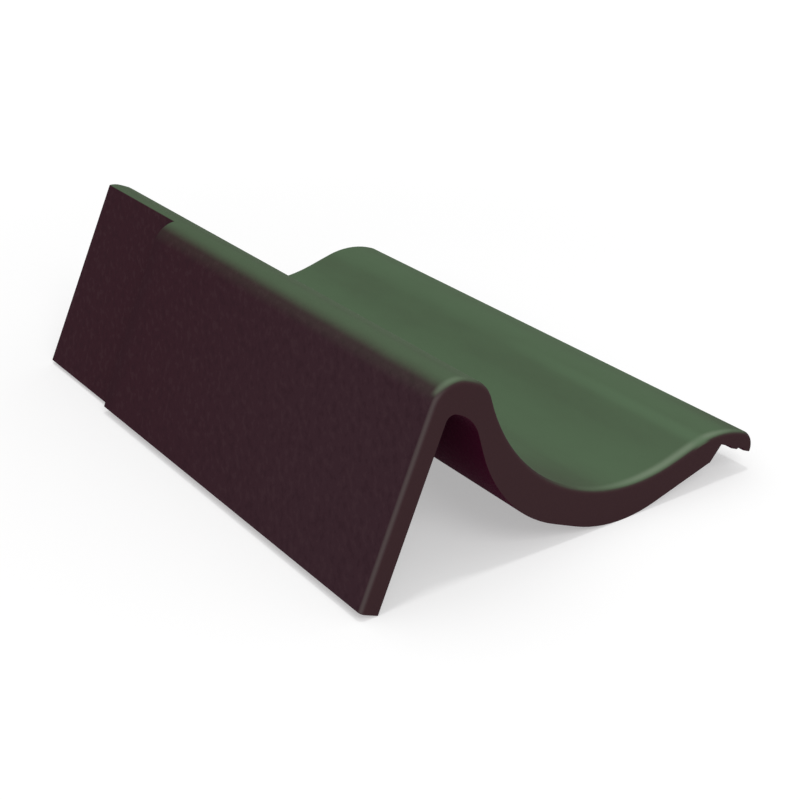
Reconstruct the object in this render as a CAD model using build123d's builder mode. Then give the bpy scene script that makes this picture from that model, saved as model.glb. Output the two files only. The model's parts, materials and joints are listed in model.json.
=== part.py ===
"""Left-hand verge tile of extruded concrete: one solid, stored as it lies on a level floor.

The section is drawn upright, as the tile sits on a roof: X across the slope from the flap's outer
face, Y from the tail (the lower, exposed end) to the head, Z up from the flap's foot.  One S-shaped
line gives the weather side, and the same line one thickness lower gives the underside.
"""
import os
from math import asin, atan2, degrees, hypot, pi, radians, tan

from build123d import *

# Length and pan, in millimetres and degrees
length = 420.0
thickness = 23.2
crown_height = 139.0
trough_depth = 52.0
trough_width = 97.5
wall_slope = 51.5
rise_slope = 39.3
trough_radius = 114.5
bed_radius = 95.0
rise_roll_radius = 62.5

# Flap, and the hollow roll that it hangs from
flap_thickness = 12.5
flap_roll_width = 33.5
flap_roll_radius = 21.2
shoulder_radius = 18.2
roll_thickness = 20.0
arch_radius = 24.5
arch_corner_radius = 5.2

# Side lock: a lip that covers the neighbour's edge, with a drip tooth under it
lip_reach = 35.3
lip_radius = 12.3
lip_depth = 12.0
lip_bead_width = 8.2
lock_roof_depth = 10.7
lock_width = 31.0
lock_lean = 18.4
lock_bend_radius = 6.0
tooth_width = 6.2
tooth_gap = 6.3

# Rounded nose at the tail, and the rebated tongue of the flap at the head
nose_radius = 3.2
tongue_length = 100.5
rebate_at_foot = 6.0
rebate_at_crown = 10.1

# Batten nib under the head
nib_width = 32.0
nib_length = 20.0
nib_depth = 14.0
nib_inset = 30.0
nib_setback = 3.0
nib_draft = 8.0
nib_edge_radius = 3.0

# Room kept between two roundings, as a share, and the distance within which an edge lies on a line
rounding_room = 1.01
line_reach = 0.01


def slope_run(rise, slope):
    """Level distance that a straight slope takes to climb a rise."""
    return rise / tan(radians(slope))


def turn_at(before, corner, after):
    """Angle, in radians, by which a path turns at a corner."""
    heading_in = atan2(corner[1] - before[1], corner[0] - before[0])
    heading_out = atan2(after[1] - corner[1], after[0] - corner[0])
    turn = abs(heading_out - heading_in)
    return min(turn, 2 * pi - turn)


def room_limited(points, radii):
    """Corner radii, made smaller only where two roundings would meet on a short side."""
    sides = [hypot(b[0] - a[0], b[1] - a[1]) for a, b in zip(points, points[1:])]
    setbacks = [radius * tan(turn_at(*points[i:i + 3]) / 2) for i, radius in enumerate(radii)]
    ends = [0.0, *setbacks, 0.0]
    crowding = [max(1.0, rounding_room * (a + b) / side) for a, b, side in zip(ends, ends[1:], sides)]
    return [radius / max(crowding[i], crowding[i + 1]) for i, radius in enumerate(radii)]


# Levels and places across the section
trough_level = crown_height - trough_depth
bed_level = trough_level - thickness
arch_level = crown_height - roll_thickness
lip_underside = crown_height - thickness
trough_left = flap_roll_width + slope_run(trough_depth, wall_slope)
trough_right = trough_left + trough_width
rise_top = trough_right + slope_run(trough_depth, rise_slope)
lip_edge = rise_top + lip_reach
arch_right = trough_left - slope_run(arch_level - bed_level, wall_slope)

# Corners of the two long lines of the section, before they are rounded
weather_points = [
    (0, 0),
    (0, crown_height),
    (flap_roll_width, crown_height),
    (trough_left, trough_level),
    (trough_right, trough_level),
    (rise_top, crown_height),
    (lip_edge, crown_height),
    (lip_edge, lip_underside),
]
weather_radii = room_limited(
    weather_points,
    [shoulder_radius, flap_roll_radius, trough_radius, trough_radius, rise_roll_radius, lip_radius],
)
bed_points = [
    (flap_thickness, 0),
    (flap_thickness, arch_level),
    (arch_right, arch_level),
    (trough_left, bed_level),
    (trough_right, bed_level),
    (rise_top, lip_underside),
    (lip_edge, lip_underside),
]
bed_radii = room_limited(
    bed_points,
    [arch_corner_radius, arch_radius, bed_radius, bed_radius, lock_bend_radius],
)

# Hollow under the lip, from its slanted inner wall out past the edge
lock_roof = crown_height - lock_roof_depth
lip_foot = crown_height - lip_depth
lock_floor = lip_underside - thickness
lock_start = lip_edge - lock_width
lock_foot = lock_start - (lock_roof - lock_floor) * tan(radians(lock_lean))
tooth_drop = lock_roof - lip_foot
bead_start = lip_edge - lip_bead_width
tooth_end = bead_start - tooth_gap
tooth_start = tooth_end - tooth_width
lock_points = [
    (lock_foot, lock_floor),
    (lock_start, lock_roof),
    (tooth_start - tooth_drop, lock_roof),
    (tooth_start, lip_foot),
    (tooth_end, lip_foot),
    (tooth_end + tooth_drop / 2, lock_roof),
    (bead_start - tooth_drop / 2, lock_roof),
    (bead_start, lip_foot),
    (lip_edge + thickness, lip_foot),
    (lip_edge + thickness, lock_floor),
]

# The rebate leans inwards from the flap's foot to the crown
rebate_lean = (rebate_at_crown - rebate_at_foot) / crown_height
rebate_points = [
    (-flap_thickness, -flap_thickness),
    (rebate_at_foot - rebate_lean * flap_thickness, -flap_thickness),
    (rebate_at_crown + rebate_lean * flap_thickness, crown_height + flap_thickness),
    (-flap_thickness, crown_height + flap_thickness),
]

# The nib grows from inside the concrete, under the trough's wall
nib_root = bed_level + thickness / 2
nib_foot = bed_level - nib_depth
nib_center = trough_left + nib_inset
nib_middle = length - nib_setback - nib_length / 2

# The tile upright, with the tail at Y = 0
with BuildPart() as upright:
    with BuildSketch(Plane.XZ):
        with BuildLine():
            weather_side = FilletPolyline(*weather_points, radius=weather_radii)
            bed_side = FilletPolyline(*bed_points, radius=bed_radii)
            Line(weather_side @ 0, bed_side @ 0)
        make_face()
        with BuildLine():
            Polyline(*lock_points, close=True)
        make_face(mode=Mode.SUBTRACT)
    extrude(amount=-length)

    def on_weather_side(edge):
        """True for an edge whose middle lies on the section's weather line."""
        middle = edge @ 0.5
        return weather_side.distance_to((middle.X, middle.Z, 0)) < line_reach

    fillet(upright.edges().group_by(Axis.Y)[0].filter_by(on_weather_side), nose_radius)

    with BuildSketch(Plane.XZ.offset(-length)):
        with BuildLine():
            Polyline(*rebate_points, close=True)
        make_face()
    extrude(amount=tongue_length, mode=Mode.SUBTRACT)

    with BuildSketch(Plane.XY.offset(nib_root)):
        with Locations((nib_center, nib_middle)):
            Rectangle(nib_width, nib_length)
    extrude(amount=nib_foot - nib_root, taper=nib_draft)
    nib_face = upright.faces().filter_by(Axis.Z).sort_by(lambda face: abs(face.center().Z - nib_foot))[0]
    fillet(nib_face.edges(), nib_edge_radius)

# Angle at which the floor touches both the flap's inner foot and the underside of the trough
bend_radius = bed_radii[3]
bend_setback = bend_radius * tan(radians(rise_slope) / 2)
bend_x = trough_right - bend_setback - flap_thickness
bend_z = bed_level + bend_radius
rest_tilt = degrees(atan2(bend_z, bend_x) - asin(bend_radius / hypot(bend_x, bend_z)))
lying_box = upright.part.rotate(Axis.Y, rest_tilt).bounding_box()
resting_place = (-lying_box.center().X, -length / 2, -lying_box.min.Z)

# The finished tile: tilted to rest, with the origin under the middle of its box
with BuildPart() as verge_tile:
    with Locations(Location(resting_place, (0, rest_tilt, 0))):
        add(upright.part)

os.makedirs("parts", exist_ok=True)
verge_tile.part.label = "verge_tile"
export_step(verge_tile.part, "parts/verge_tile.step")
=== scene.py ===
"""Looks of the left-hand verge tile: green coated concrete, lying on a pale studio floor."""

import json
from math import cos, radians, sin

import bmesh
import bpy
from mathutils import Color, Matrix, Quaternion, Vector


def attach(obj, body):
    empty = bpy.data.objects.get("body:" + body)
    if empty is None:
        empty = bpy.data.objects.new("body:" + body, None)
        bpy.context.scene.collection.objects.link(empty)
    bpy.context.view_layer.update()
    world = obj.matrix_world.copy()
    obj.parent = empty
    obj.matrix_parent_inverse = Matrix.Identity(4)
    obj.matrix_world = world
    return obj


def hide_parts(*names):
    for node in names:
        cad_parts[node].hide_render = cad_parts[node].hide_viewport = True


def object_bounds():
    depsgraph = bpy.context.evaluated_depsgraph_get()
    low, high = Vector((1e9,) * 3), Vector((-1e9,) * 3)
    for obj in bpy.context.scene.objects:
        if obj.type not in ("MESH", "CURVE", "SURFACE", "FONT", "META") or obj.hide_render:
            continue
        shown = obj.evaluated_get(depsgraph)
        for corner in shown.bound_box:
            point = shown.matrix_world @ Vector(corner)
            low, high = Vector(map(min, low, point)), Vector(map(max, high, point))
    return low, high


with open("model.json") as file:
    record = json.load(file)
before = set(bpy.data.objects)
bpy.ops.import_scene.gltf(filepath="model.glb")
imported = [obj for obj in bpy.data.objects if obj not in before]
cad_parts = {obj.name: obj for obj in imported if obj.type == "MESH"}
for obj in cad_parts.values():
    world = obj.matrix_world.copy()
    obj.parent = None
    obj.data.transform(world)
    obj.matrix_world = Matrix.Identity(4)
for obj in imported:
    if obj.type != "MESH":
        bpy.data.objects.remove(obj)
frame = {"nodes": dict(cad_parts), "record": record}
cad_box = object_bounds()
scene = bpy.context.scene
scene.view_settings.view_transform = "Standard"

# Directions of the tile as it lies: up, across it from the flap, out of its weather side, out of its tail
upward = Vector((0.0, 0.0, 1.0))
across = Vector(frame["record"]["mounts"][0]["axis"])
weather_up = Vector((-across.z, 0.0, across.x))
tailward = Vector((0.0, -1.0, 0.0))

# Places along and across the tile, in metres
tongue_length = 0.1005
tail_end = cad_box[0][1]
step_at = cad_box[1][1] - tongue_length
# Across the tile from the flap, where the painted highlight streak runs on the rise
highlight_streak_place = 0.083

# Camera, in metres and degrees
view_target = Vector((0.0276, 0.0059, 0.0))
view_distance = 1.0879
view_azimuth = -34.89
view_elevation = 25.60
view_roll = -0.50
lens = 69.66
sensor = 36.0

# Studio, in metres and watts
floor_reach = 30.0
floor_paint = (0.65, 0.65, 0.65, 1.0)
near_lift = 0.40
far_lift = 0.25
bounce = 0.16
sky_level = 0.60

# Edges, in metres and radians: all sharp ones are rubbed but those between the nib's start and end
merge_distance = 1e-6
flat_angle = radians(0.4)
arris_angle = radians(30)
arris_radius = 0.0005
nib_start = 0.18
nib_end = 0.209

# Concrete: lean of the drag marks, grains a metre of each speckle, and height of the relief
drag_lean = radians(-45)
mottle_grains = 60
sand_grains = 1300
drag_grains = 260
relief_height = 0.0008


def display_colour(red, green, blue):
    """Linear colour of an 8-bit display colour."""
    linear = Color((red / 255, green / 255, blue / 255)).from_srgb_to_scene_linear()
    return (*linear, 1.0)


coat_green = display_colour(83, 104, 79)
# Painted highlight on the nose at the tail
nose_highlight_green = display_colour(116, 132, 110)
# Painted highlight streak on the rise
highlight_streak_green = display_colour(90, 114, 87)
flap_maroon = display_colour(57, 37, 44)
tongue_maroon = display_colour(54, 29, 37)
# Dark drag flecks, also used for the painted shade at the step
fleck_and_shade_maroon = display_colour(46, 27, 34)
pale_maroon = display_colour(69, 49, 54)
# Painted highlight on the flap's arris at the tail
arris_highlight_brown = display_colour(80, 69, 69)
end_brown = display_colour(59, 40, 43)
# Underside: the body's maroon with painted shade in it, a deep wine
shaded_bed_maroon = display_colour(60, 7, 33)


class Wire:
    """A socket in a node tree: arithmetic on it adds Math nodes, and node() adds any other."""

    def __init__(self, tree, socket=None):
        self.tree = tree
        self.socket = socket

    def node(self, kind, settings, sockets, output=0):
        """Adds a node, makes its settings, fills its sockets and gives one of its outputs."""
        made = self.tree.nodes.new(kind)
        for name, value in settings.items():
            setattr(made, name, value)
        for name, value in sockets.items():
            if isinstance(value, Wire):
                self.tree.links.new(value.socket, made.inputs[name])
            else:
                made.inputs[name].default_value = value
        return Wire(self.tree, made.outputs[output] if made.outputs else None)

    def math(self, operation, first, second):
        return self.node("ShaderNodeMath", {"operation": operation}, {0: first, 1: second})

    def __add__(self, other):
        return self.math("ADD", self, other)

    def __radd__(self, other):
        return self.math("ADD", other, self)

    def __sub__(self, other):
        return self.math("SUBTRACT", self, other)

    def __rsub__(self, other):
        return self.math("SUBTRACT", other, self)

    def __mul__(self, other):
        return self.math("MULTIPLY", self, other)

    def __rmul__(self, other):
        return self.math("MULTIPLY", other, self)


def eased(value, low, high):
    """0 below low, 1 above high and a soft step between them."""
    limits = {"Value": value, "From Min": low, "From Max": high}
    return value.node("ShaderNodeMapRange", {"interpolation_type": "SMOOTHSTEP"}, limits)


def mixed(factor, first, second):
    """Colour that goes from first to second as the factor goes from 0 to 1."""
    return factor.node("ShaderNodeMix", {"data_type": "RGBA"}, {0: factor, 6: first, 7: second}, output=2)


def facing(vector, direction):
    """How far a vector goes in a direction: for a normal, the cosine of the angle between them."""
    ends = {0: vector, 1: direction}
    return vector.node("ShaderNodeVectorMath", {"operation": "DOT_PRODUCT"}, ends, "Value")


def speckle(place, stretch, scale, detail, lean=0.0):
    """Noise from 0 to 1, with so many grains a metre, drawn out along axes that lean about X."""
    leaning = {"Vector": place, "Rotation": (lean, 0, 0), "Scale": stretch}
    drawn = place.node("ShaderNodeMapping", {"vector_type": "TEXTURE"}, leaning)
    return place.node("ShaderNodeTexNoise", {}, {"Vector": drawn, "Scale": scale, "Detail": detail}, "Fac")


def new_tree(owner):
    """Empty node tree of a material or world."""
    owner.use_nodes = True
    owner.node_tree.nodes.clear()
    return Wire(owner.node_tree)


def coated_concrete():
    """Through-coloured maroon concrete, with a matt green coat where the surface looks to the weather, and
    painted shade and painted highlights in its colour.
    """
    material = bpy.data.materials.new("coated_concrete")
    wire = new_tree(material)
    place = wire.node("ShaderNodeTexCoord", {}, {}, "Object")
    normal = wire.node("ShaderNodeTexCoord", {}, {}, "Normal")
    up = facing(normal, upward)
    side = facing(normal, across)
    weather = facing(normal, weather_up)
    tail = facing(normal, tailward)
    along = wire.node("ShaderNodeSeparateXYZ", {}, {"Vector": place}, "Y")
    from_tail = 1000 * (along - tail_end)
    from_flap = facing(place, across)
    mottle = speckle(place, (1, 2.5, 1), mottle_grains, 4)
    sand = speckle(place, (1, 1, 1), sand_grains, 2)
    drag = speckle(place, (1, 1, 1.5), drag_grains, 2, lean=drag_lean)

    # Bare concrete: flap to tongue, pale and dark drag marks, painted shade in a band along the step, then
    # the ends, and the underside in a deep wine: the body's maroon with painted shade in it
    body = mixed(eased(along, -0.20, 0.14), flap_maroon, tongue_maroon)
    off_step = along - step_at
    # Painted shade in a soft band either side of the step
    step_shade = 1 - eased(off_step.math("ABSOLUTE", off_step, 0), 0.002, 0.018)
    flecks = 0.35 * eased(drag, 0.54, 0.66)
    body = mixed(0.25 * eased(1 - drag, 0.54, 0.66), body, pale_maroon)
    body = mixed(flecks.math("MAXIMUM", flecks, 0.4 * step_shade), body, fleck_and_shade_maroon)
    body = mixed(eased(tail, 0.5, 1.0), body, end_brown)
    # Faces that look down take the deep wine with painted shade in it
    body = mixed(eased(-1 * weather, 0.05, 0.6), body, shaded_bed_maroon)

    # Coat: green where the surface faces up, fading into the maroon as it turns away, partly the coat's edge
    # and partly painted shade; thinner on the trough's left wall; then less over the left roll, and painted
    # shade on the right-facing wall and noses near the tail
    open_up = up + 0.35 * tail * tail + 0.06 * (mottle - 0.5)
    coat_and_shade_from_above = 0.12 * eased(open_up, 0.40, 0.75) + 0.88 * eased(open_up, 0.76, 1.03)
    topside = eased(weather, 0.2, 0.5)
    wall_coat_and_shade = eased(side, -0.45, -0.10) * topside * (0.45 + 0.43 * eased(weather, 0.60, 0.97))
    # Less coat over the left roll, toward the flap
    crown_less_coat = 0.17 * (1 - eased(from_flap, -0.11, -0.06))
    near_tail = 1 - eased(from_tail, 10, 80)
    # Painted shade: less coat on the right-facing wall near the tail
    wall_shade = 0.30 * eased(side, -0.35, 0.05) * eased(from_flap, -0.10, -0.07) * near_tail
    # Painted shade: the nose ends of right-facing surfaces go maroon
    tip_shade = 0.75 * eased(side, -0.10, 0.30) * (1 - eased(from_tail, 2, 6))
    coat_and_shade = coat_and_shade_from_above.math("MAXIMUM", coat_and_shade_from_above, wall_coat_and_shade)
    coat_and_shade = coat_and_shade * (1 - crown_less_coat) * (1 - wall_shade) * (1 - tip_shade)
    coat_and_shade = coat_and_shade * (1 - eased(tail, 0.55, 1.0))
    colour = mixed(coat_and_shade, body, coat_green)

    # Painted highlights on the tail's edges where they look to the flap's side, and a painted highlight
    # streak on the rise
    leftward = eased(-1 * side, -0.15, 0.55)
    on_rise = eased(from_flap, 0.0, 0.05)
    on_lip = eased(from_flap, 0.085, 0.11)
    # Painted highlight in a band along the nose, brightest on the rise
    nose_highlight_reach = from_tail * (0.6 - 0.1 * on_rise + 0.2 * on_lip)
    nose_highlight = eased(nose_highlight_reach, 0.2, 1.9) * (1 - eased(nose_highlight_reach, 2.1, 4.5)) * leftward * topside
    nose_highlight = nose_highlight * (0.45 + 0.45 * on_rise - 0.3 * on_lip)
    flap_edge = leftward * eased(weather, -0.3, -0.1) * (1 - topside)
    # Painted highlight along the flap's arris at the tail
    arris_highlight = eased(from_tail, 0.0, 1.3) * (1 - eased(from_tail, 1.6, 3.6)) * flap_edge
    off_highlight_streak = from_flap - highlight_streak_place
    # Painted highlight streak along the rise
    highlight_streak = 1 - eased(off_highlight_streak.math("ABSOLUTE", off_highlight_streak, 0), 0.001, 0.007)
    colour = mixed(nose_highlight, colour, nose_highlight_green)
    colour = mixed(arris_highlight, colour, arris_highlight_brown)
    colour = mixed(0.5 * highlight_streak * topside * (1 - eased(along, -0.15, 0.03)), colour, highlight_streak_green)

    # Relief of sand and drag marks, which the coat fills
    relief = sand * 0.3 + drag * (1 - 0.8 * coat_and_shade)
    bump = wire.node("ShaderNodeBump", {}, {"Strength": 0.4, "Distance": relief_height, "Height": relief})
    skin = {"Base Color": colour, "Roughness": 0.85, "Specular IOR Level": 0.04, "Normal": bump}
    shader = wire.node("ShaderNodeBsdfPrincipled", {}, skin)
    wire.node("ShaderNodeOutputMaterial", {}, {"Surface": shader})
    return material


def cast_tile():
    """The tile as it leaves the mould: the solid's own form, with its sharp arrises rubbed round."""
    bm = bmesh.new()
    bm.from_mesh(frame["nodes"]["verge_tile"].data)
    bmesh.ops.remove_doubles(bm, verts=bm.verts, dist=merge_distance)
    bmesh.ops.dissolve_limit(bm, angle_limit=flat_angle, verts=bm.verts, edges=bm.edges)
    sharp = [edge for edge in bm.edges if edge.is_convex and edge.calc_face_angle() > arris_angle]
    middles = [(edge.verts[0].co.y + edge.verts[1].co.y) / 2 for edge in sharp]
    arrises = [edge for edge, middle in zip(sharp, middles) if not nib_start < middle < nib_end]
    bmesh.ops.bevel(
        bm, geom=arrises, offset=arris_radius, offset_type="OFFSET", affect="EDGES",
        segments=2, profile=0.5, material=-1,
    )
    for face in bm.faces:
        face.smooth = True
    mesh = bpy.data.meshes.new("cast_tile")
    bm.to_mesh(mesh)
    bm.free()
    mesh.set_sharp_from_angle(angle=arris_angle)
    mesh.materials.clear()
    mesh.materials.append(coated_concrete())
    tile = bpy.data.objects.new("cast_tile", mesh)
    scene.collection.objects.link(tile)
    flats = tile.modifiers.new("flat_faces_lead", "WEIGHTED_NORMAL")
    flats.keep_sharp = True
    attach(tile, "root")
    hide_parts("verge_tile")


def looked_at(wire):
    """1 where the camera looks, straight or by way of a reflection or of glass, and 0 for other rays."""
    straight = wire.node("ShaderNodeLightPath", {}, {}, "Is Camera Ray")
    mirrored = wire.node("ShaderNodeLightPath", {}, {}, "Is Glossy Ray")
    through = wire.node("ShaderNodeLightPath", {}, {}, "Is Transmission Ray")
    either = straight.math("MAXIMUM", straight, mirrored)
    return either.math("MAXIMUM", either, through)


def studio_world():
    """Even white surround that lights the tile from every side."""
    world = bpy.data.worlds.new("studio")
    scene.world = world
    wire = new_tree(world)
    seen = looked_at(wire)
    level = sky_level + (1 - sky_level) * seen
    background = wire.node("ShaderNodeBackground", {}, {"Color": (1, 1, 1, 1), "Strength": level})
    wire.node("ShaderNodeOutputWorld", {}, {"Surface": background})


def studio_floor():
    """White floor that keeps the tile's shadow and can be looked through from below."""
    material = bpy.data.materials.new("studio_floor")
    wire = new_tree(material)
    seen = looked_at(wire)
    below = wire.node("ShaderNodeNewGeometry", {}, {}, "Backfacing")
    paint = wire.node("ShaderNodeBsdfDiffuse", {}, {"Color": floor_paint})
    place = wire.node("ShaderNodeTexCoord", {}, {}, "Object")
    reach = place.node("ShaderNodeVectorMath", {"operation": "LENGTH"}, {0: place}, "Value")
    glow = bounce + seen * (near_lift - bounce + far_lift * eased(reach, 0.35, 1.5))
    lift = wire.node("ShaderNodeEmission", {}, {"Color": (1, 1, 1, 1), "Strength": glow})
    lit = wire.node("ShaderNodeAddShader", {}, {0: paint, 1: lift})
    clear = wire.node("ShaderNodeBsdfTransparent", {}, {})
    surface = wire.node("ShaderNodeMixShader", {}, {0: below, 1: lit, 2: clear})
    wire.node("ShaderNodeOutputMaterial", {}, {"Surface": surface})
    bm = bmesh.new()
    bmesh.ops.create_grid(bm, x_segments=1, y_segments=1, size=floor_reach)
    mesh = bpy.data.meshes.new("studio_floor")
    bm.to_mesh(mesh)
    bm.free()
    mesh.materials.append(material)
    floor = bpy.data.objects.new("studio_floor", mesh)
    scene.collection.objects.link(floor)


def soft_box(name, direction, distance, size, power):
    """Square lamp that stands off the tile in a direction and looks at it."""
    lamp = bpy.data.lights.new(name, "AREA")
    lamp.energy = power
    lamp.size = size
    box = bpy.data.objects.new(name, lamp)
    away = Vector(direction).normalized()
    box.location = away * distance
    box.rotation_mode = "QUATERNION"
    box.rotation_quaternion = (-away).to_track_quat("-Z", "Y")
    scene.collection.objects.link(box)


def photo_camera():
    """Camera at the photograph's place."""
    azimuth = radians(view_azimuth)
    elevation = radians(view_elevation)
    back = Vector((sin(azimuth) * cos(elevation), -cos(azimuth) * cos(elevation), sin(elevation)))
    camera = bpy.data.objects.new("camera", bpy.data.cameras.new("camera"))
    camera.data.lens = lens
    camera.data.sensor_width = sensor
    camera.location = view_target + back * view_distance
    camera.rotation_mode = "QUATERNION"
    level = (-back).to_track_quat("-Z", "Y")
    camera.rotation_quaternion = level @ Quaternion((0, 0, 1), radians(view_roll))
    scene.collection.objects.link(camera)
    scene.camera = camera


photo_camera()
studio_world()
studio_floor()
soft_box("key_box", direction=(0.05, -0.10, 1.00), distance=3.5, size=0.30, power=24)
soft_box("front_box", direction=(-0.19, -0.71, 0.68), distance=3.5, size=1.40, power=30)
cast_tile()
